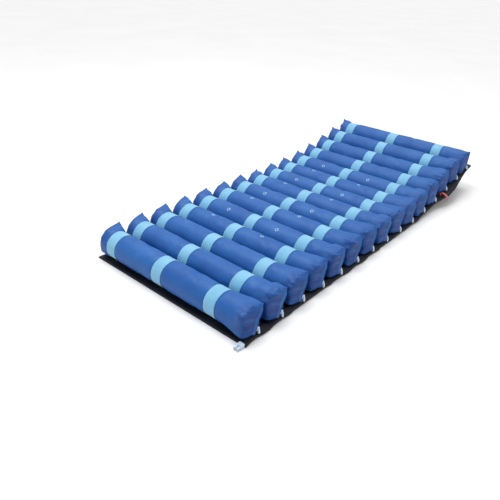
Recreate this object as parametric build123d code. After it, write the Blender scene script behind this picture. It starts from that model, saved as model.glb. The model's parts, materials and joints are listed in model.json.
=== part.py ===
"""Alternating pressure relief mattress: 15 air cells across a folding base sheet.

Millimetres, +Z up. The foot end is at -Y and the head end at +Y. The air lines run along the +X side.
The origin is the middle of the bounding box's underside, on the surface that the mattress lies on.
The base sheet is cut into sections at the gaps where the mattress flexes. The back is raised a little.
"""
from build123d import *
import math
import os

# ---- Driving dimensions ----
MATTRESS_LENGTH = 2000.0
CELL_COUNT = 15
CELL_PITCH = MATTRESS_LENGTH / CELL_COUNT

CELL_RADIUS = 58.0
CELL_LENGTH = 834.0
CELL_MIDDLE_X = -20.0
FRONT_TAPER = 36.0  # a cell's side towards the foot stays full almost to its weld
FRONT_BULGE = (9.0, -26.6)  # a point on its outline there: back from the weld, and across
BACK_TAPER = 80.0  # the side towards the head falls in
BACK_HOLLOW = (42.0, 33.0)
WELD_THICKNESS = 2.4
WELD_LENGTH = 9.0
WELD_OVERLAP = 2.0
WELD_Y = 18.0  # the welds lie behind the cell's axis
WELD_HEIGHT = 2.0 * CELL_RADIUS + 1.0

BAND_WIDTH = 54.0
BAND_THICKNESS = 1.2
BAND_SPACING = 288.0
BAND_MIDDLE_X = -63.0
SOFT_GAP = 0.3

VENT_CELLS = range(4, 12)
VENT_RADIUS = 8.0
VENT_WALL = 2.0
VENT_HEIGHT = 0.7
VENT_DEPTH = 4.0
VENT_TILT_ODD = 28.0  # degrees from the crest towards the foot, on the odd cells
VENT_TILT_EVEN = -4.0

BASE_THICKNESS = 2.0
BASE_LEFT_X = -438.0
BASE_RIGHT_X = 383.0
SECTION_GAP = 1.0

CHANNEL_WIDTH = 24.0
CHANNEL_HEIGHT = 13.0
POUCH_WIDTH = 29.0
POUCH_HEIGHT = 13.0
CHANNEL_WALL = 1.2
CHANNEL_ROUND = 5.0

HOSE_RADIUS = 4.0
HOSE_BORE_RADIUS = 2.5
HOSE_SPACING = 9.5

CONNECTOR_Z = 30.0
CONNECTOR_Y_OFFSET = 12.0
CONNECTOR_TURN_X = 402.5
CONNECTOR_RADIUS = 4.0
CONNECTOR_BORE_RADIUS = 2.4
FLANGE_RADIUS = 9.0
FLANGE_THICKNESS = 2.5

COUPLER_DEPTH = 18.0
COUPLER_HEIGHT = 15.0
COUPLER_ROUND = 3.0
PORT_RADIUS = 4.0
PORT_BORE_RADIUS = 2.6
PORT_LENGTH = 16.0
PORT_SPACING = 12.0

CPR_HOUSING_RADIUS = 9.0
CPR_HOUSING_LENGTH = 26.0
CPR_INSET = 38.0  # how far the valve reaches in from the pouch, between two cells' ends
CPR_FOLD_DISTANCE = 14.7  # from the fold beside the head section to the valve's middle
CPR_PLUG_RADIUS = 5.5
CPR_PLUG_LENGTH = 18.0
CPR_PLUG_CLEARANCE = 0.4
CPR_VENT_RADIUS = 3.5
CPR_CAP_THICKNESS = 3.0
STRAP_WIDTH = 14.0
STRAP_THICKNESS = 2.0
STRAP_TAB_HEIGHT = 11.0
STRAP_DROP = 13.0
STRAP_CLEARANCE = 0.6
STRAP_ROUND = 2.5

BACK_REST_ANGLE = 3.0  # degrees at each of the back's gaps, at rest
LARGEST_FOLD = 12.5  # degrees that a gap can close by, measured from flat

# ---- Sections of the base sheet, from the foot to the head: name, first cell, last cell, rest angle ----
SECTIONS = [
    ("calf", 1, 3, 0.0),
    ("thigh", 4, 5, 0.0),
    ("hip", 6, 6, 0.0),
    ("seat", 7, 9, 0.0),
    ("lumbar", 10, 10, BACK_REST_ANGLE),
    ("waist", 11, 11, BACK_REST_ANGLE),
    ("upper_back", 12, 12, BACK_REST_ANGLE),
    ("head", 13, 15, BACK_REST_ANGLE),
]
POUCH_SECTIONS = ("waist", "upper_back", "head")

# ---- Heights that follow from the dimensions above ----
BAND_BOTTOM_Z = BASE_THICKNESS + SOFT_GAP
CELL_BOTTOM_Z = BAND_BOTTOM_Z + BAND_THICKNESS + SOFT_GAP
CELL_AXIS_Z = CELL_BOTTOM_Z + CELL_RADIUS
BAND_XS = [BAND_MIDDLE_X + k * BAND_SPACING for k in (-1, 0, 1)]
HOSE_Z = BASE_THICKNESS + HOSE_RADIUS + SOFT_GAP
POUCH_X = BASE_RIGHT_X + CHANNEL_WIDTH


def cell_y(number):
    """The middle of a cell along the flat mattress, measured from the foot edge."""
    return (number - 0.5) * CELL_PITCH


def along_x(radius, length, start_x, y=0.0, z=0.0):
    """A round bar along +X that starts at start_x."""
    bar = Cylinder(radius, length, align=(Align.CENTER, Align.CENTER, Align.MIN))
    return Location((start_x, y, z), (0, 90, 0)) * bar


def air_cell(number):
    """One inflated tube whose ends close on upright welds, with two vent rings on the vented cells."""
    half = CELL_LENGTH / 2
    inner = half - WELD_LENGTH
    low = WELD_Y - WELD_THICKNESS / 2
    high = WELD_Y + WELD_THICKNESS / 2
    front_x = inner - FRONT_TAPER
    back_x = inner - BACK_TAPER
    bulge_x, bulge_y = inner - FRONT_BULGE[0], FRONT_BULGE[1]
    hollow_x, hollow_y = inner - BACK_HOLLOW[0], BACK_HOLLOW[1]
    outline = Line((-front_x, -CELL_RADIUS), (front_x, -CELL_RADIUS))
    outline += ThreePointArc((front_x, -CELL_RADIUS), (bulge_x, bulge_y), (inner, low))
    outline += Line((inner, low), (inner, high))
    outline += ThreePointArc((inner, high), (hollow_x, hollow_y), (back_x, CELL_RADIUS))
    outline += Line((back_x, CELL_RADIUS), (-back_x, CELL_RADIUS))
    outline += ThreePointArc((-back_x, CELL_RADIUS), (-hollow_x, hollow_y), (-inner, high))
    outline += Line((-inner, high), (-inner, low))
    outline += ThreePointArc((-inner, low), (-bulge_x, bulge_y), (-front_x, -CELL_RADIUS))
    plan = make_face(outline)
    tube = along_x(CELL_RADIUS, CELL_LENGTH, -half)
    cell = tube & Pos(0, 0, -CELL_RADIUS) * extrude(plan, 2 * CELL_RADIUS)
    fin = Box(WELD_LENGTH + WELD_OVERLAP, WELD_THICKNESS, WELD_HEIGHT)
    fin_x = half - (WELD_LENGTH + WELD_OVERLAP) / 2
    for sign in (-1, 1):
        cell += Pos(sign * fin_x, WELD_Y, 0) * fin
    cell = Pos(CELL_MIDDLE_X, 0, CELL_AXIS_Z) * cell
    over_channel = Box(
        CHANNEL_WIDTH + SOFT_GAP,
        2 * CELL_PITCH,
        CHANNEL_HEIGHT + SOFT_GAP,
        align=(Align.MIN, Align.CENTER, Align.MIN),
    )
    cell -= Pos(BASE_RIGHT_X - SOFT_GAP, 0, 0) * over_channel
    if number in VENT_CELLS:
        tilt = VENT_TILT_ODD if number % 2 else VENT_TILT_EVEN
        for left, right in zip(BAND_XS, BAND_XS[1:]):
            ring = Cylinder(VENT_RADIUS, VENT_DEPTH)
            ring -= Cylinder(VENT_RADIUS - VENT_WALL, VENT_DEPTH)
            ring = Pos(0, 0, CELL_RADIUS + VENT_HEIGHT - VENT_DEPTH / 2) * ring
            cell += Pos((left + right) / 2, 0, CELL_AXIS_Z) * Rot(tilt, 0, 0) * ring
    return Pos(0, cell_y(number), 0) * cell


def loop_bands(number):
    """The three woven loops that hold one cell down on the base sheet."""
    inner = CELL_RADIUS + SOFT_GAP
    outer = inner + BAND_THICKNESS
    bands = []
    for x in BAND_XS:
        start = x - BAND_WIDTH / 2
        ring = along_x(outer, BAND_WIDTH, start) - along_x(inner, BAND_WIDTH, start)
        bands.append(Pos(0, cell_y(number), CELL_AXIS_Z) * ring)
    return bands


def section_span(first, last, height=0.0):
    """Where a section begins and ends along the flat mattress, for a piece of this height.

    A folding edge is cut back by half a gap, and further on a tall piece, so that the fold can close.
    """
    low = (first - 1) * CELL_PITCH
    high = last * CELL_PITCH
    cut = SECTION_GAP / 2 + height * math.tan(math.radians(LARGEST_FOLD / 2))
    if first > 1:
        low += cut
    if last < CELL_COUNT:
        high -= cut
    return low, high


def fabric_duct(start_x, width, height, low, high):
    """A cloth duct that lies along the mattress, open at both ends."""
    length = high - low
    middle = (low + high) / 2
    corner = (Align.MIN, Align.CENTER, Align.MIN)
    shell = Pos(start_x, middle, 0) * Box(width, length, height, align=corner)
    rounded = shell.edges().filter_by(Axis.Y).sort_by(Axis.Z)[-2:]
    shell = fillet(rounded, CHANNEL_ROUND)
    hollow = Pos(start_x + CHANNEL_WALL, middle, BASE_THICKNESS) * Box(
        width - 2 * CHANNEL_WALL,
        length + 2 * SECTION_GAP,
        height - BASE_THICKNESS - CHANNEL_WALL,
        align=corner,
    )
    rounded = hollow.edges().filter_by(Axis.Y).sort_by(Axis.Z)[-2:]
    return shell - fillet(rounded, CHANNEL_ROUND - CHANNEL_WALL)


def base_sheet(section, first, last):
    """One section of the coated base sheet, with the hose channel sewn along its right edge.

    Beside the raised back, a loose pouch for the quick-release valve is sewn outside the channel.
    """
    low, high = section_span(first, last)
    sheet = Pos(BASE_LEFT_X, (low + high) / 2, 0) * Box(
        BASE_RIGHT_X - BASE_LEFT_X,
        high - low,
        BASE_THICKNESS,
        align=(Align.MIN, Align.CENTER, Align.MIN),
    )
    low, high = section_span(first, last, CHANNEL_HEIGHT)
    sheet += fabric_duct(BASE_RIGHT_X, CHANNEL_WIDTH, CHANNEL_HEIGHT, low, high)
    if section in POUCH_SECTIONS:
        low, high = section_span(first, last, POUCH_HEIGHT)
        sheet += fabric_duct(POUCH_X, POUCH_WIDTH, POUCH_HEIGHT, low, high)
    return sheet


def hose_x(line):
    """Line 0 feeds the odd cells and line 1 the even cells."""
    return BASE_RIGHT_X + CHANNEL_WIDTH / 2 + (line - 0.5) * HOSE_SPACING


def air_hoses(first, last):
    """The two feed hoses in the channel, as far as this section goes."""
    low, high = section_span(first, last, HOSE_Z + HOSE_RADIUS)
    length = high - low
    hoses = []
    for line in (0, 1):
        wall = Cylinder(HOSE_RADIUS, length) - Cylinder(HOSE_BORE_RADIUS, length)
        hoses.append(Location((hose_x(line), (low + high) / 2, HOSE_Z), (90, 0, 0)) * wall)
    return hoses


def cell_connector(number):
    """The moulded elbow that leads from the foot of a cell's weld down into the channel."""
    start = CELL_MIDDLE_X + CELL_LENGTH / 2 + SOFT_GAP
    stub_length = CONNECTOR_TURN_X - start
    leg_height = CONNECTOR_Z - CHANNEL_HEIGHT
    upright = (Align.CENTER, Align.CENTER, Align.MIN)
    foot = Pos(CONNECTOR_TURN_X, 0, CHANNEL_HEIGHT)
    elbow = along_x(CONNECTOR_RADIUS, stub_length, start, 0, CONNECTOR_Z)
    elbow += along_x(FLANGE_RADIUS, FLANGE_THICKNESS, start, 0, CONNECTOR_Z)
    elbow += foot * Cylinder(CONNECTOR_RADIUS, leg_height, align=upright)
    elbow += Pos(CONNECTOR_TURN_X, 0, CONNECTOR_Z) * Sphere(CONNECTOR_RADIUS)
    elbow -= along_x(CONNECTOR_BORE_RADIUS, stub_length, start, 0, CONNECTOR_Z)
    elbow -= foot * Cylinder(CONNECTOR_BORE_RADIUS, leg_height, align=upright)
    return Pos(0, cell_y(number) + CONNECTOR_Y_OFFSET, 0) * elbow


def inlet_coupler():
    """The twin inlet on the foot end of the channel, where the pump's hoses push on."""
    x = BASE_RIGHT_X + CHANNEL_WIDTH / 2
    body = Pos(x, -COUPLER_DEPTH / 2, COUPLER_HEIGHT / 2) * Box(
        CHANNEL_WIDTH, COUPLER_DEPTH, COUPLER_HEIGHT
    )
    body = fillet(body.edges().filter_by(Axis.Y), COUPLER_ROUND)
    for sign in (-1, 1):
        port_x = x + sign * PORT_SPACING / 2
        reach = PORT_LENGTH + COUPLER_DEPTH
        spigot = Cylinder(PORT_RADIUS, reach, align=(Align.CENTER, Align.CENTER, Align.MIN))
        bore = Cylinder(PORT_BORE_RADIUS, reach, align=(Align.CENTER, Align.CENTER, Align.MIN))
        place = Location((port_x, 0, COUPLER_HEIGHT / 2), (90, 0, 0))
        body = body + place * spigot - place * bore
    return body


def cpr_place(shape):
    """Puts a piece of the quick-release valve on the channel, between the ends of cells 12 and 13."""
    x = POUCH_X - CPR_INSET
    y = 12 * CELL_PITCH + CPR_FOLD_DISTANCE
    return Pos(x, y, CHANNEL_HEIGHT + CPR_HOUSING_RADIUS) * shape


def cpr_housing():
    """The quick-release valve's socket, which lies along X."""
    socket_length = CPR_PLUG_LENGTH + SOFT_GAP
    tube = along_x(CPR_HOUSING_RADIUS, CPR_HOUSING_LENGTH, 0)
    tube -= along_x(
        CPR_PLUG_RADIUS + CPR_PLUG_CLEARANCE, socket_length, CPR_HOUSING_LENGTH - socket_length
    )
    tube -= along_x(CPR_VENT_RADIUS, CPR_HOUSING_LENGTH, 0)
    return cpr_place(tube)


def cpr_plug():
    """The plug that seals the quick-release valve, with its cap."""
    shank_length = CPR_PLUG_LENGTH + CPR_PLUG_CLEARANCE
    plug = along_x(CPR_PLUG_RADIUS, shank_length, CPR_HOUSING_LENGTH - CPR_PLUG_LENGTH)
    cap_x = CPR_HOUSING_LENGTH + CPR_PLUG_CLEARANCE
    plug += along_x(CPR_HOUSING_RADIUS, CPR_CAP_THICKNESS, cap_x)
    return cpr_place(plug)


def cpr_strap():
    """The webbing that a nurse pulls: up the plug's cap, out across the pouch and down its side."""
    inner_x = CPR_HOUSING_LENGTH + CPR_PLUG_CLEARANCE + CPR_CAP_THICKNESS
    outer_x = CPR_INSET + POUCH_WIDTH + STRAP_CLEARANCE + STRAP_THICKNESS
    low = STRAP_CLEARANCE - CPR_HOUSING_RADIUS
    corner = (Align.MIN, Align.CENTER, Align.MIN)
    run = Pos(inner_x, 0, low) * Box(
        outer_x - inner_x, STRAP_WIDTH, STRAP_THICKNESS, align=corner
    )
    tab = Pos(inner_x, 0, low) * Box(
        STRAP_THICKNESS, STRAP_WIDTH, STRAP_TAB_HEIGHT, align=corner
    )
    drop = Pos(outer_x - STRAP_THICKNESS, 0, low + STRAP_THICKNESS - STRAP_DROP) * Box(
        STRAP_THICKNESS, STRAP_WIDTH, STRAP_DROP, align=corner
    )
    strap = run + tab + drop
    corner_edges = strap.edges().filter_by(Axis.Y).sort_by(Axis.X)
    outer_edge = corner_edges.group_by(Axis.X)[-1].sort_by(Axis.Z)[-1]
    return cpr_place(fillet([outer_edge], STRAP_ROUND - SOFT_GAP))


def turned_about(y, angle):
    """The placement that raises what lies on the head side of a folding line."""
    return Location((0, y, 0)) * Location((0, 0, 0), (angle, 0, 0)) * Location((0, -y, 0))


# ---- Build every piece in its section, raised as the section is ----
nodes = {}
hinge_points = {}
place = Location((0, 0, 0))
for name, first, last, angle in SECTIONS:
    fold_y = (first - 1) * CELL_PITCH
    hinge_points[name] = (place * Location((0, fold_y, 0))).position
    place = place * turned_about(fold_y, angle)
    cells = range(first, last + 1)
    nodes[f"base_sheet_{name}"] = place * base_sheet(name, first, last)
    nodes[f"air_hoses_{name}"] = [place * hose for hose in air_hoses(first, last)]
    nodes[f"cell_connectors_{name}"] = [place * cell_connector(n) for n in cells]
    for n in cells:
        nodes[f"air_cell_{n:02d}"] = place * air_cell(n)
        nodes[f"loop_bands_{n:02d}"] = [place * band for band in loop_bands(n)]
    if name == "calf":
        nodes["inlet_coupler"] = place * inlet_coupler()
nodes["cpr_valve_housing"] = place * cpr_housing()
nodes["cpr_plug"] = place * cpr_plug()
nodes["cpr_pull_strap"] = place * cpr_strap()


def gathered(shape):
    """A node's solids as one compound."""
    pieces = shape if isinstance(shape, list) else [shape]
    return Compound(children=[solid for piece in pieces for solid in piece.solids()])


compounds = {name: gathered(shape) for name, shape in nodes.items()}
boxes = [shape.bounding_box() for shape in compounds.values()]
low_x, high_x = min(b.min.X for b in boxes), max(b.max.X for b in boxes)
low_y, high_y = min(b.min.Y for b in boxes), max(b.max.Y for b in boxes)
low_z = min(b.min.Z for b in boxes)
centre = Vector((low_x + high_x) / 2, (low_y + high_y) / 2, low_z)

os.makedirs("parts", exist_ok=True)
for name, shape in compounds.items():
    moved = Pos(-centre.X, -centre.Y, -centre.Z) * shape
    moved.label = name
    export_step(moved, f"parts/{name}.step")

print("centre", [round(v, 4) for v in centre])
for name, point in hinge_points.items():
    print("fold", name, [round(v, 4) for v in point - centre])
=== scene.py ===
"""Visual model of an alternating pressure relief mattress.

15 air cells lie across a folding base cloth, each held by three webbing loops. The air lines run in a
cloth sleeve along the +X side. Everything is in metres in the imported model's frame: +Z up, +Y to the head.
The drawing's own flat coordinates (x, y along the cloth from the foot edge, z above it) are turned into
the frame by section, because the back rests a little raised.
"""
import json
import math
import random

import bmesh
import bpy
import numpy as np
from mathutils import Matrix, Vector
from mathutils.bvhtree import BVHTree


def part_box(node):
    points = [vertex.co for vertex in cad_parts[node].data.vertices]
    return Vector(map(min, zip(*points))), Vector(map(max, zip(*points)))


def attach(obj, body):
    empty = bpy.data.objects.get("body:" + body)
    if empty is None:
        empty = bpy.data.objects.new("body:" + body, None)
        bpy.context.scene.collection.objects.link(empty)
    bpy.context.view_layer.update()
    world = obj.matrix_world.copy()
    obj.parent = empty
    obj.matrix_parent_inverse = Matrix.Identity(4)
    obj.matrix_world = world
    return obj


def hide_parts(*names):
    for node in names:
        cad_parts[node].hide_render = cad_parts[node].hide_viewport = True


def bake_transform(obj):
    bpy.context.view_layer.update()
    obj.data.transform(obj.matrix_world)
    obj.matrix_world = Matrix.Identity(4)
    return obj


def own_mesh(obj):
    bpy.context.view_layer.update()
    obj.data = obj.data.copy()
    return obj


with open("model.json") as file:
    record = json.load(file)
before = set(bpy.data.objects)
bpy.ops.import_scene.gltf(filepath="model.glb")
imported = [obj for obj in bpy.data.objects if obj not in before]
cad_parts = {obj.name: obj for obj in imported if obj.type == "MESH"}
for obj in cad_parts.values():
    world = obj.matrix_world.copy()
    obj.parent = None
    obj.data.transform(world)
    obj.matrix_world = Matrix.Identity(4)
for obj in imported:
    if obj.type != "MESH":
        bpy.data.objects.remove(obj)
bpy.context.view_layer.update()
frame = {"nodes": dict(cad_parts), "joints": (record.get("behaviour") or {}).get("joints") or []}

# ---- Layout, as in the CAD model ----
LENGTH = 2.0
CELLS = 15
PITCH = LENGTH / CELLS
SECTIONS = [
    ("calf", 1, 3),
    ("thigh", 4, 5),
    ("hip", 6, 6),
    ("seat", 7, 9),
    ("lumbar", 10, 10),
    ("waist", 11, 11),
    ("upper_back", 12, 12),
    ("head", 13, 15),
]
BASE_LEFT = -0.438
BASE_RIGHT = 0.383
CHANNEL_MIDDLE = 0.395
CHANNEL_HEIGHT = 0.013
AXIS_Z = 0.0618
BAND_XS = (-0.351, -0.063, 0.225)
BAND_HALF = 0.027
VENTED = range(4, 12)
VALVE_CELL = 13
VALVE_Y = 12 * PITCH + 0.0147

# ---- Soft shapes, in metres and degrees ----
CELL_MIDDLE = -0.0215
CELL_HALF = 0.4235
CELL_R = 0.0604
BAND_R = 0.0580
LIP = 0.005
LIP_HALF_THICK = 0.0006
NX, NV = 96, 40  # points along the simulated tube and round it
PATTERN_WELD = 0.146
WELDS = (0.134, 0.116)  # width, left and right
WELD_OFFSET = (0.017, 0.011)  # towards the head and up
WELD_BOW = 0.008
FRONT_CAPS = (0.034, 0.020)  # length of the rounded end, left and right
BACK_FALLS = (0.080, 0.140)  # length over which the back falls in, left and right
FOLDS = ((-1, 9, 0.0032), (1, 18, 0.0064))  # end, number of folds and their depth
EDGE_WAVES = ((0.0015, 95), (0.0009, 230))  # height, and radians in a metre
CORNER_CUT = (0.010, 0.005)  # inwards and down
LEANS = (27, 22)  # left and right
LEAN_SPREAD = 4
LEFT_SWAY = 3  # more lean for odd cells and less for even ones
LESS_LEAN = 12  # off the left lean, in the cells towards the head
LEFT_DROP = 0.013
LEFT_LIFTS = (0.001, 0.004)  # even and odd cells
LAST_CELL_LEAN = 6
LAST_CELL_DROPS = (0.006, 0.017)  # left and right
HIGHEST, WIDEST = 0.0660, 0.0600  # from the axis, softly held
SLUMP = 0.32  # how much wider the right end gets low down
FLOOR_OF_CELL = 0.0030 - AXIS_Z
FLOOR_SOFTNESS = 0.004
VENT_TILTS = (-4, 28)  # even and odd cells
BLOW_FRAMES = 40
HEM, HEM_THICK = 0.0165, 0.0029
SLEEVE_WIDTH, NARROWEST_SLEEVE = 0.0245, 0.0240
POUCH_WIDTH = 0.0270
REACH = 0.024  # of the bend, each side of a fold


def smooth(low, high, value):
    t = np.clip((value - low) / (high - low), 0.0, 1.0)
    return t * t * (3 - 2 * t)


# ---- Where each section lies at rest ----
slides = {j["child"]: j for j in frame["joints"] if j["type"] == "slide"}
X_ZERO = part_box("base_sheet_seat")[0].x - BASE_LEFT
places = {}
point_y, point_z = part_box("base_sheet_calf")[0].y, 0.0
for name, first, last in SECTIONS:
    # the slides of a section's cells are square to its cloth
    up = slides[f"cell_{first:02d}"]["axis"]
    angle = math.atan2(-up[1], up[2])
    flat_y = (first - 1) * PITCH
    places[name] = (flat_y, point_y, point_z, angle)
    length = (last - first + 1) * PITCH
    point_y += length * math.cos(angle)
    point_z += length * math.sin(angle)


def place(section, co):
    """Flat coordinates, one point a row, into the row frame."""
    flat_y, y, z, a = places[section]
    co = np.asarray(co, float).reshape(-1, 3)
    along = co[:, 1] - flat_y
    return np.column_stack(
        [
            co[:, 0] + X_ZERO,
            y + along * math.cos(a) - co[:, 2] * math.sin(a),
            z + along * math.sin(a) + co[:, 2] * math.cos(a),
        ]
    )


def section_of(cell):
    return next(name for name, first, last in SECTIONS if first <= cell <= last)


def cell_y(cell):
    return (cell - 0.5) * PITCH


# ---- Materials ----
def new_material(name):
    m = bpy.data.materials.new(name)
    m.use_nodes = True
    tree = m.node_tree
    return m, tree, tree.nodes["Principled BSDF"]


def node(tree, kind, **inputs):
    n = tree.nodes.new(kind)
    for key, value in inputs.items():
        n.inputs[key.replace("_", " ")].default_value = value
    return n


def math_node(tree, operation, *values):
    n = tree.nodes.new("ShaderNodeMath")
    n.operation = operation
    for socket, value in zip(n.inputs, values):
        if isinstance(value, (int, float)):
            socket.default_value = value
        else:
            tree.links.new(value, socket)
    return n.outputs[0]


def mix_colour(tree, factor, first, second, blend="MIX"):
    """The first colour, a socket, mixed with the second, a fixed one."""
    n = tree.nodes.new("ShaderNodeMix")
    n.data_type = "RGBA"
    n.blend_type = blend
    tree.links.new(factor, n.inputs["Factor"])
    tree.links.new(first, n.inputs["A"])
    n.inputs["B"].default_value = (*second, 1)
    return n.outputs["Result"]


def mapped(tree, value, low, high, at_low=0.0, at_high=1.0, kind="SMOOTHSTEP"):
    """The value's range from low to high, turned into at_low to at_high."""
    n = tree.nodes.new("ShaderNodeMapRange")
    n.interpolation_type = kind
    limits = {"From Min": low, "From Max": high, "To Min": at_low, "To Max": at_high}
    for key, limit in limits.items():
        n.inputs[key].default_value = limit
    tree.links.new(value, n.inputs["Value"])
    return n.outputs["Result"]


def ramp(tree, factor, stops):
    n = tree.nodes.new("ShaderNodeValToRGB")
    while len(n.color_ramp.elements) < len(stops):
        n.color_ramp.elements.new(0.5)
    for element, (position, colour) in zip(n.color_ramp.elements, stops):
        element.position = position
        element.color = (*colour, 1)
    tree.links.new(factor, n.inputs["Fac"])
    return n.outputs["Color"]


def wave(tree, vector, period, direction):
    n = node(tree, "ShaderNodeTexWave", Scale=2 * math.pi / (20 * period))
    n.bands_direction = direction
    n.wave_profile = "SIN"
    tree.links.new(vector, n.inputs["Vector"])
    return n.outputs["Fac"]


def noise(tree, vector, scale, detail=3.0, roughness=0.5, distortion=0.0):
    settings = {"Scale": scale, "Detail": detail, "Roughness": roughness, "Distortion": distortion}
    n = node(tree, "ShaderNodeTexNoise", **settings)
    tree.links.new(vector, n.inputs["Vector"])
    return n.outputs["Fac"]


def bumped(tree, shader, height, strength, distance):
    n = node(tree, "ShaderNodeBump", Strength=strength, Distance=distance)
    tree.links.new(height, n.inputs["Height"])
    tree.links.new(n.outputs["Normal"], shader.inputs["Normal"])


def coordinates(tree, kind):
    return tree.nodes.new("ShaderNodeTexCoord").outputs[kind]


def crumpled_ends_painted_shade(tree, uv, colour, middle, reach, dark):
    """Streaky creases beside a cell's two welds: their height, and the cloth's colour with painted shade in
    them.

    The painted shade is darkest in deep creases and low on the cell's front. The uv is in metres, along the
    cell and round it.
    """
    split = tree.nodes.new("ShaderNodeSeparateXYZ")
    tree.links.new(uv, split.inputs[0])
    from_middle = math_node(tree, "SUBTRACT", split.outputs["X"], middle)
    near = mapped(tree, math_node(tree, "ABSOLUTE", from_middle), middle - reach, middle)
    stretch = tree.nodes.new("ShaderNodeMapping")
    stretch.inputs["Scale"].default_value = (34, 52, 1)
    tree.links.new(uv, stretch.inputs["Vector"])
    streak = noise(tree, stretch.outputs["Vector"], 1.0, 4.0, 0.6, distortion=0.9)
    # painted shade: the deeper a crease, the darker its colour
    painted_crease_shade = mapped(tree, streak, 0.36, 0.62, 1.0, 0.25, kind="LINEAR")
    # painted shade, strongest round the cell's lower front, where the light falls least
    lower_front = 1.35 * math.pi * CELL_R
    from_front = math_node(tree, "SUBTRACT", split.outputs["Y"], lower_front)
    low = mapped(tree, math_node(tree, "ABSOLUTE", from_front), 0.050, 0.105, 1.0, 0.35)
    painted_shade = math_node(tree, "MULTIPLY", math_node(tree, "MULTIPLY", painted_crease_shade, near), low)
    return math_node(tree, "MULTIPLY", streak, near), mix_colour(tree, painted_shade, colour, dark)


def fabric(name, dark, mid, light, weave, rough, crumple=0.35, specular=0.45, weld_creases_and_shade=None):
    """Coated woven cloth: colour drifts over the cloth, a weave and small creases are in its bump."""
    m, tree, shader = new_material(name)
    uv = coordinates(tree, "UV")
    place_ = coordinates(tree, "Object")
    drift = noise(tree, place_, 9.0, 4.0, 0.55)
    colour = ramp(tree, drift, [(0.25, dark), (0.5, mid), (0.8, light)])
    thread = math_node(tree, "MULTIPLY", wave(tree, uv, weave, "X"), wave(tree, uv, weave, "Y"))
    shade = math_node(tree, "MULTIPLY", thread, 0.30)
    colour = mix_colour(tree, shade, colour, (0.55, 0.6, 0.7), "MULTIPLY")
    mottle = math_node(tree, "MULTIPLY_ADD", noise(tree, place_, 40.0), 0.22, rough - 0.11)
    tree.links.new(mottle, shader.inputs["Roughness"])
    creases = noise(tree, place_, 70.0, 5.0, 0.6)
    height = math_node(
        tree,
        "ADD",
        math_node(tree, "MULTIPLY", thread, 0.25),
        math_node(tree, "MULTIPLY", creases, crumple * 4),
    )
    # the weld creases add bump, and painted shade darkens their colour and the cell's lower front
    if weld_creases_and_shade:
        gathered, colour = crumpled_ends_painted_shade(tree, uv, colour, *weld_creases_and_shade)
        height = math_node(tree, "ADD", height, math_node(tree, "MULTIPLY", gathered, 3.5))
    tree.links.new(colour, shader.inputs["Base Color"])
    bumped(tree, shader, height, 0.45, 0.0008)
    shader.inputs["Specular IOR Level"].default_value = specular
    return m


def webbing(name, dark, mid, light, rib, stripes=None):
    """Flat woven strap: ribs across it, fine threads along it, and a thin stripe near both edges if given.

    stripes is their distance from the strap's middle, half their width, and their colour.
    """
    m, tree, shader = new_material(name)
    uv = coordinates(tree, "UV")
    woven = math_node(tree, "MULTIPLY", wave(tree, uv, rib, "X"), wave(tree, uv, rib * 0.8, "Y"))
    drift = noise(tree, coordinates(tree, "Object"), 22.0, 4.0, 0.6)
    tone = math_node(
        tree, "ADD", math_node(tree, "MULTIPLY", woven, 0.35), math_node(tree, "MULTIPLY", drift, 0.65)
    )
    colour = ramp(tree, tone, [(0.15, dark), (0.5, mid), (0.85, light)])
    if stripes:
        distance, half_width, stripe = stripes
        split = tree.nodes.new("ShaderNodeSeparateXYZ")
        tree.links.new(uv, split.inputs[0])
        off = math_node(tree, "ABSOLUTE", split.outputs["Y"])
        on_stripe = math_node(tree, "COMPARE", off, distance, half_width)
        colour = mix_colour(tree, on_stripe, colour, stripe)
    tree.links.new(colour, shader.inputs["Base Color"])
    tree.links.new(math_node(tree, "MULTIPLY_ADD", drift, 0.2, 0.5), shader.inputs["Roughness"])
    bumped(tree, shader, woven, 0.6, 0.0006)
    shader.inputs["Sheen Weight"].default_value = 0.25
    shader.inputs["Sheen Roughness"].default_value = 0.5
    return m


def plastic(name, base, worn, rough):
    """Moulded plastic: fine grain in the bump, handling marks in colour and gloss."""
    m, tree, shader = new_material(name)
    place_ = coordinates(tree, "Object")
    marks = noise(tree, place_, 60.0, 5.0, 0.65)
    tree.links.new(ramp(tree, marks, [(0.35, worn), (0.6, base)]), shader.inputs["Base Color"])
    gloss = math_node(tree, "MULTIPLY_ADD", marks, -0.2, rough + 0.1)
    tree.links.new(gloss, shader.inputs["Roughness"])
    bumped(tree, shader, noise(tree, place_, 220.0, 2.0), 0.15, 0.0003)
    return m


CELL_CLOTH = fabric(
    "cell_cloth",
    (0.008, 0.078, 0.300),
    (0.013, 0.100, 0.348),
    (0.024, 0.130, 0.400),
    weave=0.0011,
    rough=0.46,
    specular=0.27,
    # middle and reach of the weld creases, and the dark navy painted into them as shade
    weld_creases_and_shade=(CELL_HALF, 0.085, (0.005, 0.018, 0.140)),
)
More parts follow.
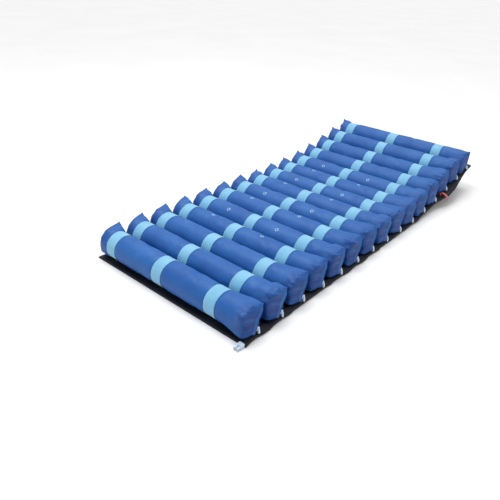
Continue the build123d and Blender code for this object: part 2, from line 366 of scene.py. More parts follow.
# weld lips: glossier cloth, whose lighter colours are partly a painted highlight along the hem
WELD_CLOTH_PAINTED_HIGHLIGHT = fabric(
    "weld_lip_painted_highlight",
    (0.008, 0.070, 0.280),
    (0.016, 0.100, 0.340),
    (0.045, 0.160, 0.420),
    weave=0.0022,
    rough=0.36,
    specular=0.35,
)
RING_FILM = plastic("vent_ring_film", (0.42, 0.62, 0.78), (0.33, 0.54, 0.74), 0.4)
BAND_WEB = webbing(
    "band_webbing",
    (0.120, 0.360, 0.580),
    (0.175, 0.450, 0.660),
    (0.250, 0.530, 0.700),
    rib=0.0024,
)
BASE_CLOTH = fabric(
    "base_cloth",
    (0.004, 0.005, 0.010),
    (0.007, 0.008, 0.015),
    (0.012, 0.013, 0.022),
    weave=0.0016,
    rough=0.62,
    crumple=0.6,
    specular=0.25,
)
TUBING = plastic("hose_tubing", (0.62, 0.66, 0.66), (0.5, 0.55, 0.55), 0.35)
WHITE_PLASTIC = plastic("connector_plastic", (0.60, 0.71, 0.83), (0.47, 0.58, 0.73), 0.32)
VALVE_PLASTIC = plastic("valve_plastic", (0.050, 0.052, 0.060), (0.035, 0.036, 0.042), 0.42)
RED_PLASTIC = plastic("plug_plastic", (0.50, 0.02, 0.03), (0.40, 0.015, 0.025), 0.35)
RED_WEB = webbing(
    "strap_webbing",
    (0.42, 0.010, 0.020),
    (0.58, 0.018, 0.032),
    (0.68, 0.040, 0.050),
    rib=0.0016,
    stripes=(0.0032, 0.0006, (0.85, 0.35, 0.33)),
)


# ---- Mesh helpers ----
def new_piece(name, verts, faces, materials, uvs=None, face_material=None):
    """A mesh object. uvs is one (u, v) per face corner, in the order of the faces' corners."""
    mesh = bpy.data.meshes.new(name)
    mesh.from_pydata([tuple(v) for v in verts], [], [tuple(f) for f in faces])
    for m in materials:
        mesh.materials.append(m)
    if uvs is not None:
        layer = mesh.uv_layers.new(name="cloth")
        layer.data.foreach_set("uv", np.asarray(uvs, np.float32).ravel())
    if face_material is not None:
        mesh.polygons.foreach_set("material_index", np.asarray(face_material, np.int32))
    mesh.polygons.foreach_set("use_smooth", [True] * len(mesh.polygons))
    mesh.update()
    piece = bpy.data.objects.new(name, mesh)
    bpy.context.scene.collection.objects.link(piece)
    return piece


def coordinates_of(mesh):
    co = np.empty(len(mesh.vertices) * 3)
    mesh.vertices.foreach_get("co", co)
    return co.reshape(-1, 3)


def set_coordinates(mesh, co):
    mesh.vertices.foreach_set("co", np.asarray(co, np.float32).ravel())
    mesh.update()


def tube_faces(n, m, ring=False):
    """Faces between n rows of m points, each row closed. With ring, the last row meets the first."""
    faces = []
    for i in range(n if ring else n - 1):
        k = (i + 1) % n
        for j in range(m):
            q = (j + 1) % m
            faces.append((i * m + j, i * m + q, k * m + q, k * m + j))
    return faces


def tube_uvs(along, around, swap=False):
    """UVs for tube_faces: a value for each row, and one for each point round it and the first again."""
    uvs = []
    for u0, u1 in zip(along, along[1:]):
        for v0, v1 in zip(around, around[1:]):
            corners = [(u0, v0), (u0, v1), (u1, v1), (u1, v0)]
            uvs += [(v, u) for u, v in corners] if swap else corners
    return uvs


def slab_caps(n, m):
    """Faces over both ends of a slab whose rows go along its top and back along its underside."""
    return [
        (i * m + j, i * m + j + 1, i * m + m - 2 - j, i * m + m - 1 - j)
        for i in (0, n - 1)
        for j in range(m // 2 - 1)
    ]


def closed_grid(rows, along, around):
    """Faces and UVs for rows of points that each go once round a tube, with flat ends."""
    n, m = rows.shape[:2]
    faces, uvs = tube_faces(n, m), tube_uvs(along, around)
    for i, order in ((0, -1), (n - 1, 1)):
        for j in range(m // 2):
            ring = list(dict.fromkeys([j, j + 1, (m - j - 1) % m, (m - j) % m]))[::order]
            faces.append(tuple(i * m + r for r in ring))
            uvs += [(along[i], around[r]) for r in ring]
    return faces, uvs


def outward(piece):
    """Turns the faces of a closed mesh to face out."""
    bm = bmesh.new()
    bm.from_mesh(piece.data)
    bmesh.ops.recalc_face_normals(bm, faces=bm.faces)
    bm.to_mesh(piece.data)
    bm.free()
    return piece


# ---- The air cells: a flat tube, welded at both ends and blown up ----
def pattern_width(distance_from_end):
    full = math.pi * CELL_R
    return full - (full - PATTERN_WELD) * (1 - smooth(0.0, 0.06, distance_from_end))


def flat_tube(seed):
    rng = random.Random(seed)
    half = NV // 2
    length = 2 * (CELL_HALF - LIP) + 0.030
    verts, index = [], {}
    for i in range(NX + 1):
        x = -length / 2 + length * i / NX
        end = i in (0, NX)
        width = pattern_width(length / 2 - abs(x))
        for j in range(NV):
            jj = min(j, NV - j) if end else j
            if (i, jj) not in index:
                share = min(j, NV - j) / half
                side = 1 if j <= half else -1
                gap = 0 if end else side * 0.004 * math.sin(math.pi * share)
                gap += rng.uniform(-0.0003, 0.0003)
                index[i, jj] = len(verts)
                verts.append((x, gap, width / 2 - width * share))
            index[i, j] = index[i, jj]
    faces = []
    for i in range(NX):
        for j in range(NV):
            k = (j + 1) % NV
            ring = [index[i, j], index[i, k], index[i + 1, k], index[i + 1, j]]
            ring = list(dict.fromkeys(ring))
            if len(ring) > 2:
                faces.append(ring)
    return verts, faces, index


def inflated_grid(seed):
    """The tube's points after it is blown up, as (NX + 1, NV, 3)."""
    verts, faces, index = flat_tube(seed)
    order = [[index[i, j] for j in range(NV)] for i in range(NX + 1)]
    piece = outward(new_piece("tube", verts, faces, []))
    cloth = piece.modifiers.new("blow_up", "CLOTH")
    s = cloth.settings
    s.quality = 6
    s.mass = 0.15
    s.tension_stiffness = s.compression_stiffness = 60
    s.shear_stiffness = 24
    s.bending_stiffness = 4
    s.tension_damping = s.compression_damping = 12
    s.shear_damping = 8
    s.bending_damping = 2
    s.air_damping = 2
    s.use_pressure = True
    s.uniform_pressure_force = 12
    s.effector_weights.gravity = 0
    cloth.collision_settings.use_collision = False
    cloth.point_cache.frame_start, cloth.point_cache.frame_end = 1, BLOW_FRAMES
    scene = bpy.context.scene
    scene.frame_start, scene.frame_end = 1, BLOW_FRAMES
    for step in range(1, BLOW_FRAMES + 1):
        scene.frame_set(step)
    blown = piece.evaluated_get(bpy.context.evaluated_depsgraph_get())
    co = coordinates_of(blown.data)[np.array(order)]
    bpy.data.objects.remove(piece)
    scene.frame_set(1)
    return co


def blurred(grid, reach_x=4, reach_v=2):
    """The grid averaged over its neighbours, along the tube and round it."""
    padded = np.pad(grid, ((reach_x, reach_x), (0, 0), (0, 0)), mode="reflect", reflect_type="odd")
    along = sum(padded[k : k + len(grid)] for k in range(2 * reach_x + 1)) / (2 * reach_x + 1)
    return sum(np.roll(along, k, 1) for k in range(-reach_v, reach_v + 1)) / (2 * reach_v + 1)


def wrinkle(rng, turn, count):
    """A few soft ridges round a tube, at random angles."""
    total = np.zeros_like(turn)
    for _ in range(count):
        at = rng.uniform(0, 2 * math.pi)
        wide = rng.uniform(0.07, 0.16)
        gap = np.angle(np.exp(1j * (turn - at)))
        total += rng.uniform(0.5, 1.0) * np.exp(-((gap / wide) ** 2))
    return total


def gathers(rng, turn, from_weld, count, depth):
    """Folds that run in from a weld, each with its own place, width, length and depth."""
    total = np.zeros_like(turn)
    for _ in range(count):
        at, wide = rng.uniform(0, 2 * math.pi), rng.uniform(0.08, 0.19)
        length, drift = rng.uniform(0.025, 0.075), rng.uniform(-5, 5)
        gap = np.angle(np.exp(1j * (turn - at - drift * from_weld)))
        near = smooth(0.0, 0.011, from_weld) * (1 - smooth(0.3 * length, length, from_weld))
        total += rng.uniform(0.4, 1.0) * depth * near * np.exp(-((gap / wide) ** 2))
    return total


def tube_rows(grid):
    """Rows of the closed cell mesh, about its own axis, with a flat weld lip on both ends.

    The overall form is a full tube whose front stays round almost to the weld while its back falls in.
    The creases are the simulated tube's own.
    """
    grid = grid - grid[NX // 2 - 10 : NX // 2 + 10].mean((0, 1))
    grid[..., 0] *= (CELL_HALF - LIP) / np.abs(grid[[0, -1], :, 0]).max()
    creases = grid - blurred(grid)
    mirrored = creases[:, [(-j) % NV for j in range(NV)]]
    creases[[0, -1]] = (creases[[0, -1]] + mirrored[[0, -1]]) / 2
    x = np.linspace(-1, 1, NX + 1)[:, None] * (CELL_HALF - LIP)
    from_weld = CELL_HALF - LIP - np.abs(x)
    turn = 2 * math.pi * np.arange(NV)[None, :] / NV
    near_weld = 1 - smooth(0.0, 0.055, from_weld)
    cap = np.where(x < 0, *FRONT_CAPS)
    front = np.sqrt(1 - (1 - np.clip(from_weld / cap, 0, 1)) ** 2)
    curled = smooth(-0.004, BACK_FALLS[0], from_weld) - smooth(-0.004, BACK_FALLS[0], 0.0)
    curled /= 1 - smooth(-0.004, BACK_FALLS[0], 0.0)
    straight = 1 - (1 - np.clip(from_weld / BACK_FALLS[1], 0, 1)) ** 1.3
    back = np.where(x < 0, curled, straight)
    width = np.where(np.sin(turn) < 0, front, back)
    weld = np.where(x < 0, *WELDS) / 2
    tall = CELL_R + (weld - CELL_R) * (1 - smooth(0.0, 0.07, from_weld))
    bow = WELD_BOW * np.sin(turn) ** 2 * near_weld
    form = np.stack(
        [
            x + 0 * turn,
            CELL_R * width * np.sin(turn) - bow + (1 - width) * WELD_OFFSET[0],
            tall * np.cos(turn) + (1 - width) * WELD_OFFSET[1],
        ],
        -1,
    )
    share = 0.55 + 0.45 * near_weld
    for band_x in BAND_XS:
        off = np.abs(x - (band_x - CELL_MIDDLE))
        share = share * smooth(0.026, 0.045, off)
    grid = form + share[..., None] * creases
    side = np.sign(np.sin(turn)).round()
    side[:, [0, NV // 2]] = 0
    rows = list(grid)
    for end, sign in ((0, -1), (-1, 1)):
        inner = grid[end].copy()
        inner[:, 1] += side[0] * LIP_HALF_THICK
        outer = inner.copy()
        outer[:, 0] += sign * LIP
        if end == 0:
            rows[0] = inner
            rows.insert(0, outer)
        else:
            rows[-1] = inner
            rows.append(outer)
    return np.array(rows)


def refined(piece):
    """Subdivides the piece once and gives back its new mesh."""
    modifier = piece.modifiers.new("fine", "SUBSURF")
    modifier.levels = modifier.render_levels = 1
    fine = bpy.data.meshes.new_from_object(
        piece.evaluated_get(bpy.context.evaluated_depsgraph_get())
    )
    piece.modifiers.remove(modifier)
    piece.data = fine
    return fine


def crumple_welds(mesh, co, number, rng):
    """Folds and a wavy edge at both welds, and a rounded top corner at the right one."""
    normal = np.empty(len(co) * 3)
    mesh.vertices.foreach_get("normal", normal)
    corner = np.empty(len(mesh.loops), int)
    mesh.loops.foreach_get("vertex_index", corner)
    uv = np.empty(len(mesh.loops) * 2)
    mesh.uv_layers[0].data.foreach_get("uv", uv)
    around = np.zeros(len(co))
    around[corner] = uv[1::2] / CELL_R
    fold = np.zeros(len(co))
    for sign, count, depth in FOLDS:
        from_weld = CELL_HALF - LIP - sign * co[:, 0]
        fold += gathers(rng, around, np.maximum(from_weld, 0), count, depth)
        edge = 1 - smooth(0.0, 0.012, from_weld)
        for size, step in EDGE_WAVES:
            co[:, 1] += size * edge * np.sin(step * co[:, 2] + rng.uniform(0, 6.28))
    co -= fold[:, None] * normal.reshape(-1, 3)
    if number < CELLS:
        top = smooth(0.035, 0.072, co[:, 2]) * (1 - smooth(0.0, 0.030, CELL_HALF - co[:, 0]))
        co[:, 0] -= CORNER_CUT[0] * top
        co[:, 2] -= CORNER_CUT[1] * top


def pucker_at_bands(co, rng):
    """The webbing loops draw the cell in, and it puckers beside them."""
    radius = np.hypot(co[:, 1], co[:, 2])
    turn = np.arctan2(co[:, 1], co[:, 2])
    change = np.zeros(len(co))
    for x in BAND_XS:
        off = np.abs(co[:, 0] - (x - CELL_MIDDLE))
        change -= (CELL_R - BAND_R) * (1 - smooth(BAND_HALF - 0.002, BAND_HALF + 0.013, off))
        for sign in (-1, 1):
            beyond = sign * (co[:, 0] - (x - CELL_MIDDLE)) - BAND_HALF
            near = smooth(0.001, 0.008, beyond) * (1 - smooth(0.010, 0.040, beyond))
            change -= 0.0011 * near * wrinkle(rng, turn, 9)
    co[:, 1:] *= (1 + change / np.maximum(radius, 0.02))[:, None]


def leant(co, number, rng):
    """The cell with its welds leaning to the head, resting on the cloth and the sleeve."""
    last = number == CELLS
    from_left, from_right = CELL_HALF + co[:, 0], CELL_HALF - co[:, 0]
    towards_head = smooth(5, 10, number)
    sway = LEFT_SWAY if number % 2 else -LEFT_SWAY
    chance = rng.uniform(-LEAN_SPREAD, LEAN_SPREAD)
    left = math.radians(LEANS[0] - LESS_LEAN * towards_head + chance + sway)
    chance = rng.uniform(-LEAN_SPREAD, LEAN_SPREAD)
    right = math.radians((LAST_CELL_LEAN if last else LEANS[1]) + chance)
    lean = left + (right - left) * smooth(0.2, 0.8, from_left / (2 * CELL_HALF))
    y = co[:, 1] * np.cos(lean) + co[:, 2] * np.sin(lean)
    z = -co[:, 1] * np.sin(lean) + co[:, 2] * np.cos(lean)
    z += (1 - smooth(0.02, 0.075, from_left)) * LEFT_LIFTS[number % 2]
    if last:
        z -= LAST_CELL_DROPS[1] * smooth(CELL_HALF - 0.145, CELL_HALF, co[:, 0])
    drop = LEFT_DROP * towards_head + (LAST_CELL_DROPS[0] if last else 0)
    z -= drop * (1 - smooth(0.0, 0.075, from_left))
    z = np.where(z > HIGHEST, HIGHEST + 0.3 * (z - HIGHEST), z)
    if number != VALVE_CELL:
        y *= 1 + SLUMP * smooth(0.0, 0.045, -z) * (1 - smooth(0.020, 0.130, from_right))
    y = np.where(np.abs(y) > WIDEST, np.sign(y) * (WIDEST + 0.25 * (np.abs(y) - WIDEST)), y)
    rest = FLOOR_OF_CELL + CHANNEL_HEIGHT * smooth(0.368, 0.384, co[:, 0] + CELL_MIDDLE)
    low = z - (rest + FLOOR_SOFTNESS)
    eased = rest + FLOOR_SOFTNESS * np.exp(np.minimum(low, 0) / FLOOR_SOFTNESS)
    z = np.where(low < 0, eased, z)
    return np.column_stack([co[:, 0] + CELL_MIDDLE, y + cell_y(number), z + AXIS_Z])


def air_cell(number, rows):
    """One cell in its place, with its vent rings."""
    rng = random.Random(100 + number)
    section = section_of(number)
    along = np.linspace(0, 2 * CELL_HALF, len(rows))
    around = np.linspace(0, 2 * math.pi * CELL_R, NV + 1)
    faces, uvs = closed_grid(rows, along, around)
    cloths = [CELL_CLOTH, RING_FILM, WELD_CLOTH_PAINTED_HIGHLIGHT]
    # the lip faces get the weld lip cloth, whose lighter colour is partly a painted highlight
    lip_faces_painted_highlight = [2 if max(f) < 2 * NV or min(f) >= (len(rows) - 2) * NV else 0 for f in faces]
    piece = new_piece(f"air_cell_cloth_{number:02d}", rows.reshape(-1, 3), faces, cloths, uvs, lip_faces_painted_highlight)
    mesh = refined(piece)
    co = coordinates_of(mesh)
    crumple_welds(mesh, co, number, rng)
    pucker_at_bands(co, rng)
    co = leant(co, number, rng)
    set_coordinates(mesh, place(section, co))
    if number in VENTED:
        tree = BVHTree.FromPolygons([Vector(c) for c in co], [tuple(p.vertices) for p in mesh.polygons])
        tilt = math.radians(VENT_TILTS[number % 2])
        for left, right in zip(BAND_XS, BAND_XS[1:]):
            verts, faces = vent_ring(tree, (left + right) / 2, cell_y(number), tilt)
            ring = new_piece("ring", place(section, verts), faces, cloths, face_material=[1] * len(faces))
            ring.data.uv_layers.new(name="cloth")
            join(piece, [outward(ring)])
    return piece


def vent_ring(tree, x, y, tilt):
    """A low welded ring on the cell's cloth."""
    mean, half_width, height = 0.0070, 0.0014, 0.0007
    around, section = 36, 8
    verts = []
    for i in range(around):
        a = 2 * math.pi * i / around
        for j in range(section):
            b = 2 * math.pi * j / section
            r = mean + half_width * math.cos(b)
            angle = tilt - r * math.sin(a) / CELL_R
            direction = Vector((0, -math.sin(angle), math.cos(angle)))
            start = Vector((x + r * math.cos(a), y, AXIS_Z)) + direction * 0.09
            hit = tree.ray_cast(start, -direction)[0]
            verts.append(tuple(hit + direction * (height * math.sin(b) + 0.0001)))
    return verts, tube_faces(around, section, ring=True)


def join(piece, others):
    bpy.ops.object.select_all(action="DESELECT")
    for o in [piece, *others]:
        o.select_set(True)
    bpy.context.view_layer.objects.active = piece
    bpy.ops.object.join()
    return piece


def loop_bands(number):
    """The three woven loops round one cell, as one piece."""
    rng = random.Random(500 + number)
    around, across = 96, 12
    turn = 2 * math.pi * np.arange(around) / around
    # across the band's outer face and back across its inner one: place, and share of its thickness
    profile = [(s, 1.0 if abs(s) < 0.97 else 0.55) for s in np.linspace(-1, 1, across + 1)]
    profile += [(s, 0.0 if abs(s) < 0.97 else 0.35) for s in np.linspace(1, -1, across + 1)]
    widths = [s * BAND_HALF for s, layer in profile + profile[:1]]
    lengths = np.arange(around + 1) / around * 0.37
    verts, faces, uvs = [], [], []
    for x in BAND_XS:
        phase = [rng.uniform(0, 6.28) for _ in range(4)]
        drift = 0.0008 * np.sin(2 * turn + phase[0]) + 0.0005 * np.sin(5 * turn + phase[1])
        rows = np.zeros((len(profile), around, 3))
        for row, (s, layer) in zip(rows, profile):
            edge = 0.0003 * np.sin(9 * turn + phase[2] + 2 * s) * s * s
            r = BAND_R + 0.0003 + 0.0010 * layer + 0.0005 * s * s + edge * layer
            row[:, 0] = x + s * BAND_HALF + drift
            row[:, 1] = cell_y(number) + r * np.sin(turn)
            row[:, 2] = AXIS_Z + r * np.cos(turn)
        faces += [tuple(len(verts) + v for v in f) for f in tube_faces(len(profile), around, ring=True)]
        uvs += tube_uvs(widths, lengths, swap=True)
        verts += [tuple(p) for p in rows.reshape(-1, 3)]
    placed = place(section_of(number), verts)
    return outward(new_piece(f"loop_webbing_{number:02d}", placed, faces, [BAND_WEB], uvs))


def flatten_with_cell(piece, number):
    """The piece goes with its cell's body, on its own copy of its mesh."""
    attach(piece, f"cell_{number:02d}")
    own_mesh(piece)


VARIANTS = [inflated_grid(seed) for seed in (11, 14, 18)]


for number in range(1, CELLS + 1):
    rows = tube_rows(VARIANTS[number % 3])
    cell = air_cell(number, rows)
    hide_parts(f"air_cell_{number:02d}")
    flatten_with_cell(cell, number)
    bands = loop_bands(number)
    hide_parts(f"loop_bands_{number:02d}")
    flatten_with_cell(bands, number)


# ---- The base cloth and the sleeve along its right edge, bent at the folds ----
def bend_place(lower, upper, fold, reach, co):
    """Flat points into the row frame, turning smoothly from the lower section's plane to the upper's."""
    co = np.asarray(co, float).reshape(-1, 3)
    weight = smooth(fold - reach, fold + reach, co[:, 1])[:, None]
    return (1 - weight) * place(lower, co) + weight * place(upper, co)


def steps_along(low, high, fold, reach):
    marks = {round(low, 5), round(high, 5)}
    y = math.ceil(low / 0.008) * 0.008
    while y < high:
        if abs(y - fold) > reach and low + 0.003 < y < high - 0.003:
            marks.add(round(y, 5))
        y += 0.008
    marks.update(round(fold + reach * k / 8, 5) for k in range(-8, 9))
    return sorted(marks)


def hash_noise(x, y, seed=0):
    """Smooth noise from a few sine waves, the same each run."""
    total = 0
    for k in range(1, 6):
        total += np.sin(x * 11 * k + y * 17 * k * (1 + 0.13 * seed) + 1.7 * k + seed) / k
        total += np.sin(y * 23 * k - x * 7 * k + 0.9 * k * k + 2 * seed) / k
    return total / 4


def base_cloth(name, lower, upper, low, high, fold, reach):
    """The flat coated sheet: a slab as thin as cloth with a turned hem on its left and end edges."""
    ys = steps_along(low, high, fold, reach)
    xs = [BASE_LEFT + d for d in (0, 0.0006, 0.004, 0.014, HEM, 0.018)]
    xs += list(np.linspace(BASE_LEFT + 0.04, BASE_RIGHT - 0.006, 40)) + [BASE_RIGHT]
    hem = [0.0014, 0.0026, 0.0030, HEM_THICK, 0.0020, 0.0017] + [0.0016] * 41
    rows = []
    for y in ys:
        from_end = min(y, LENGTH - y)
        thick = np.array(hem)
        if from_end < HEM:
            thick = np.maximum(thick, 0.0014 if from_end < 0.0005 else HEM_THICK)
        x = np.array(xs)
        x = x + 0.0012 * hash_noise(x * 0 + 1, y * 2, 2) * (x < BASE_LEFT + 0.02)
        lift = 0.00025 * (1 + hash_noise(x, y))
        top = np.column_stack([x, np.full(len(x), y), thick + lift])
        bottom = np.column_stack([x, np.full(len(x), y), 0 * x + 0.0001])
        rows.append(np.vstack([top, bottom[::-1]]))
    n, m = len(rows), len(rows[0])
    around = xs + xs[::-1] + xs[:1]
    faces = tube_faces(n, m) + slab_caps(n, m)
    uvs = tube_uvs(ys, around, swap=True)
    for y in (ys[0], ys[-1]):
        for x0, x1 in zip(xs, xs[1:]):
            uvs += [(x0, y), (x1, y), (x1, y + 0.002), (x0, y + 0.002)]
    piece = new_piece(name, bend_place(lower, upper, fold, reach, rows), faces, [BASE_CLOTH], uvs)
    return outward(piece)


def sleeve_width(y):
    """Width of the sleeve at a place along the mattress, with the pouch beside the back."""
    width = SLEEVE_WIDTH
    width += POUCH_WIDTH * smooth(1.53, 1.67, y) * (1 - smooth(1.69, 1.95, y))
    width += 0.0030 * np.cos(2 * math.pi * (y / PITCH - 0.9)) * (1 - smooth(1.3, 1.5, y))
    width += 0.0035 * np.sin(y * 9.0 + 1.1) * (1 - smooth(1.3, 1.45, y))
    return np.maximum(width, NARROWEST_SLEEVE)


def squared(value, power=0.55):
    """A sine or cosine pushed towards its ends, for a squarer ring."""
    return np.sign(value) * np.abs(value) ** power


def sleeve(name, lower, upper, low, high, fold, reach):
    """The cloth sleeve round the air lines, slack and creased."""
    ys = steps_along(low, high, fold, reach)
    count = 36
    turn = 2 * math.pi * np.arange(count) / count
    c, s = np.cos(turn), np.sin(turn)
    free = np.clip(s + 0.3, 0, 1)
    rows = []
    for y in ys:
        width = sleeve_width(y)
        x = BASE_RIGHT - 0.002 + width / 2 + (width / 2 + 0.001) * squared(c)
        z = CHANNEL_HEIGHT / 2 + CHANNEL_HEIGHT / 2 * squared(s)
        crease = hash_noise(turn * 0.11, y * 1.6, 3)
        sag = 0.0015 * np.cos(2 * math.pi * y / PITCH) * free
        z = z + free * (0.0007 * crease) + sag * smooth(0.030, 0.045, width)
        x = x + np.clip(c, 0, 1) * 0.0013 * crease
        rows.append(np.column_stack([x, np.full(count, y), np.maximum(z, 0.0003)]))
    rows = np.array(rows)
    faces, uvs = closed_grid(rows, ys, np.linspace(0, 0.1, count + 1))
    piece = new_piece(name, bend_place(lower, upper, fold, reach, rows), faces, [BASE_CLOTH], uvs)
    return outward(piece)


folds = [(a[0], b[0], (b[1] - 1) * PITCH) for a, b in zip(SECTIONS, SECTIONS[1:])]
middles = [(first - 1 + last) / 2 * PITCH for name, first, last in SECTIONS]
middles[0], middles[-1] = 0.0, LENGTH
for k, (lower, upper, fold) in enumerate(folds):
    low, high = middles[k], middles[k + 1]
    start = tuple(place(lower, [(0, fold - REACH, 0)])[0])
    cloth = base_cloth(f"base_cloth_{lower}_{upper}", lower, upper, low, high, fold, REACH)
    tube = sleeve(f"air_line_sleeve_{lower}_{upper}", lower, upper, low, high, fold, REACH)
    for piece in (cloth, tube):
        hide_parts(f"base_sheet_{lower}", f"base_sheet_{upper}")
        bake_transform(piece)


# ---- Elbows from each cell's end down into the sleeve ----
def swept(path, radii, sides=20):
    """A round tube along points, with one radius per point, closed at both ends."""
    path = [Vector(p) for p in path]
    rows = []
    for i, p in enumerate(path):
        along = (path[min(i + 1, len(path) - 1)] - path[max(i - 1, 0)]).normalized()
        across = Vector((0, 1, 0))
        other = along.cross(across).normalized()
        for a in (2 * math.pi * j / sides for j in range(sides)):
            rows.append(tuple(p + radii[i] * (math.cos(a) * across + math.sin(a) * other)))
    n = len(path)
    faces = tube_faces(n, sides)
    faces.append(tuple(range(sides)))
    faces.append(tuple((n - 1) * sides + j for j in range(sides))[::-1])
    return rows, faces


def elbow(number):
    """Flange, collar, bend and barbed leg of one cell's air connector."""
    y = cell_y(number) + 0.012
    start, turn_x, z = 0.3973, 0.4025, 0.030
    bend, r, barb = 0.0030, 0.0040, 0.0052
    low = CHANNEL_HEIGHT - 0.004
    path, radii = [], []

    def add(x, z, radius):
        path.append((x, y, z))
        radii.append(radius)

    for dx, radius in (
        (-0.0060, 0.0050), (-0.0004, 0.0052), (0.0, 0.0082), (0.0003, 0.0088), (0.0014, 0.0088),
        (0.0018, 0.0082), (0.0020, 0.0048),
    ):
        add(start + dx, z, radius)
    for k in range(9):
        a = math.pi / 2 * k / 8
        add(turn_x - bend + bend * math.sin(a), z - bend + bend * math.cos(a), r)
    for share, radius in ((0.35, r), (0.4, barb), (0.6, barb), (0.65, r), (1.0, r)):
        add(turn_x, z - bend - (z - bend - low) * share, radius)
    return swept(path, radii)


for name, first, last in SECTIONS:
    verts, faces = [], []
    for number in range(first, last + 1):
        v, f = elbow(number)
        faces += [tuple(len(verts) + k for k in face) for face in f]
        verts += [tuple(p) for p in v]
    piece = outward(new_piece(f"cell_elbows_{name}", place(name, verts), faces, [WHITE_PLASTIC]))
    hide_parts(f"cell_connectors_{name}")
    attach(piece, f"section_{name}")


# ---- Pump inlet: the CAD coupler with barbed collars on its spigots ----
def barbs():
    """Barbed collars on the coupler's two spigots, each a ring of rows out along it and back inside."""
    sides = 24
    turn = 2 * math.pi * np.arange(sides) / sides
    verts, faces = [], []
    for x in (CHANNEL_MIDDLE - 0.006, CHANNEL_MIDDLE + 0.006):
        steps = [
            (-0.0185 - 0.0035 * k + dy, r)
            for k in range(4)
            for dy, r in ((0.0, 0.0041), (-0.0003, 0.0050), (-0.0012, 0.0050), (-0.0030, 0.0041))
        ]
        steps += [(y, 0.0039) for y, r in steps[::-1]]
        faces += [tuple(len(verts) + v for v in f) for f in tube_faces(len(steps), sides, ring=True)]
        for y, r in steps:
            verts += zip(x + r * np.cos(turn), np.full(sides, y), 0.0075 + r * np.sin(turn))
    return verts, faces


verts, faces = barbs()
piece = outward(new_piece("inlet_barbs", place("calf", verts), faces, [WHITE_PLASTIC]))
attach(piece, "section_calf")


# ---- Quick-release strap ----
def smooth_curve(points, parts=4):
    """A curve through the points, with each stretch cut in equal parts."""
    last = len(points) - 1
    curve = []
    for k in range(last * parts + 1):
        i = min(k // parts, last - 1)
        t = (k - parts * i) / parts
        a, b, c, d = (np.array(points[max(0, min(last, i + step))]) for step in (-1, 0, 1, 2))
        bend = (2 * a - 5 * b + 4 * c - d) * t * t + (3 * b - a - 3 * c + d) * t**3
        curve.append(0.5 * (2 * b + (c - a) * t + bend))
    return np.array(curve)


def strap_webbing():
    """The red pull strap: an arch from the plug over the sleeve, with its tab hanging past the edge."""
    curve = smooth_curve(
        [
            (0.3990, 0.0130), (0.3992, 0.0190), (0.4000, 0.0250), (0.4030, 0.0300), (0.4080, 0.0322),
            (0.4150, 0.0312), (0.4220, 0.0282), (0.4290, 0.0242), (0.4340, 0.0200), (0.4368, 0.0155),
            (0.4378, 0.0105), (0.4392, 0.0055), (0.4425, 0.0022),
        ]
    )
    half, thick, across = 0.0066, 0.0007, 8
    widths = np.linspace(-1, 1, across + 1)
    rows, lengths = [], [0.0]
    for i, p in enumerate(curve):
        along = curve[min(i + 1, len(curve) - 1)] - curve[max(i - 1, 0)]
        normal = np.array([-along[1], along[0]]) / np.linalg.norm(along)
        if i:
            lengths.append(lengths[-1] + np.linalg.norm(p - curve[i - 1]))
        skew = 0.0012 * math.sin(i * 0.11)
        for side, order in ((1, 1), (-1, -1)):
            for s in widths[::order]:
                offset = side * thick * (1 - 0.5 * (abs(s) > 0.99)) - 0.0004 * s * s
                x, z = p + normal * offset
                rows.append((x, VALVE_Y + s * half + skew, z))
    n, m = len(curve), 2 * (across + 1)
    v = [*(widths * half), *(widths[::-1] * half), -half]
    uvs = tube_uvs(lengths, v)
    for u in (lengths[0], lengths[-1]):
        for v0, v1 in zip(v[:across], v[1:]):
            uvs += [(u, v0), (u, v1), (u, v1), (u, v0)]
    faces = tube_faces(n, m) + slab_caps(n, m)
    return outward(new_piece("quick_release_webbing", place("head", rows), faces, [RED_WEB], uvs))


piece = strap_webbing()
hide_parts("cpr_pull_strap")
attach(piece, "cpr_pull")

# ---- CAD nodes that stay, with finished materials ----
KEPT = {
    "air_hoses_": TUBING,
    "inlet_coupler": WHITE_PLASTIC,
    "cpr_valve_housing": VALVE_PLASTIC,
    "cpr_plug": RED_PLASTIC,
}
for name, obj in frame["nodes"].items():
    for start, material in KEPT.items():
        if name.startswith(start):
            obj.data.materials.clear()
            obj.data.materials.append(material)

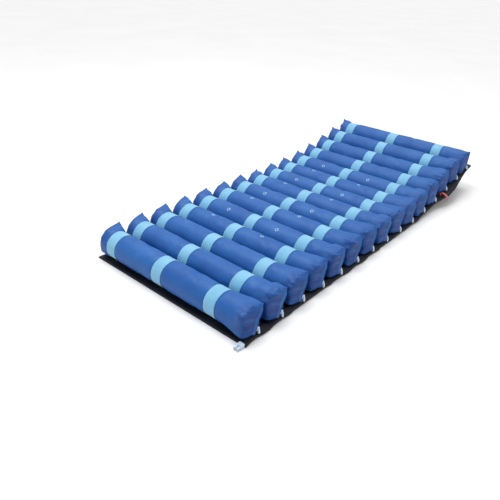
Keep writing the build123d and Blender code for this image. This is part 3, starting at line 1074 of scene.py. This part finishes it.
# ---- Floor, light and camera ----
floor_mat, tree, shader = new_material("studio_floor")
drift = noise(tree, coordinates(tree, "Object"), 1.3)
tree.links.new(
    ramp(tree, drift, [(0.3, (0.80, 0.80, 0.80)), (0.7, (0.83, 0.83, 0.83))]), shader.inputs["Base Color"]
)
shader.inputs["Roughness"].default_value = 0.75
size = 60.0
floor = new_piece(
    "floor",
    [(-size, -size, -0.0006), (size, -size, -0.0006), (size, size, -0.0006), (-size, size, -0.0006)],
    [(0, 1, 2, 3)],
    [floor_mat],
)


def area_light(name, position, target, size, energy):
    data = bpy.data.lights.new(name, "AREA")
    data.shape = "DISK"
    data.size = size
    data.energy = energy
    lamp = bpy.data.objects.new(name, data)
    lamp.location = position
    lamp.rotation_euler = (Vector(target) - Vector(position)).to_track_quat("-Z", "Y").to_euler()
    bpy.context.scene.collection.objects.link(lamp)


area_light("key", (-1.0, -0.6, 3.4), (0, 0, 0), 2.2, 60)
sun = bpy.data.lights.new("sun", "SUN")
sun.energy = 1.1
sun.angle = math.radians(35)
lamp = bpy.data.objects.new("sun", sun)
lamp.rotation_euler = (math.radians(-18), math.radians(-12), 0)
bpy.context.scene.collection.objects.link(lamp)
world = bpy.data.worlds.new("studio")
world.use_nodes = True
world.node_tree.nodes["Background"].inputs["Color"].default_value = (1, 1, 1, 1)
world.node_tree.nodes["Background"].inputs["Strength"].default_value = 0.80
bpy.context.scene.world = world
bpy.context.scene.view_settings.view_transform = "Standard"

AZIMUTH, ELEVATION, ROLL = (math.radians(v) for v in (39.988, 30.020, 2.377))
DISTANCE = 2.2888
target = Vector((X_ZERO - 0.0142, -0.4682, 0.0))
back = Vector(
    (
        math.sin(AZIMUTH) * math.cos(ELEVATION),
        -math.cos(AZIMUTH) * math.cos(ELEVATION),
        math.sin(ELEVATION),
    )
)
right = (-back).cross(Vector((0, 0, 1))).normalized()
above = right.cross(-back)
camera_x = math.cos(ROLL) * right + math.sin(ROLL) * above
camera_y = -math.sin(ROLL) * right + math.cos(ROLL) * above
data = bpy.data.cameras.new("camera")
data.lens = 36.52
data.sensor_width = 36.0
camera = bpy.data.objects.new("camera", data)
bpy.context.scene.collection.objects.link(camera)
turn = Matrix((camera_x, camera_y, back)).transposed().to_4x4()
camera.matrix_world = Matrix.Translation(target + DISTANCE * back) @ turn
bpy.context.scene.camera = camera
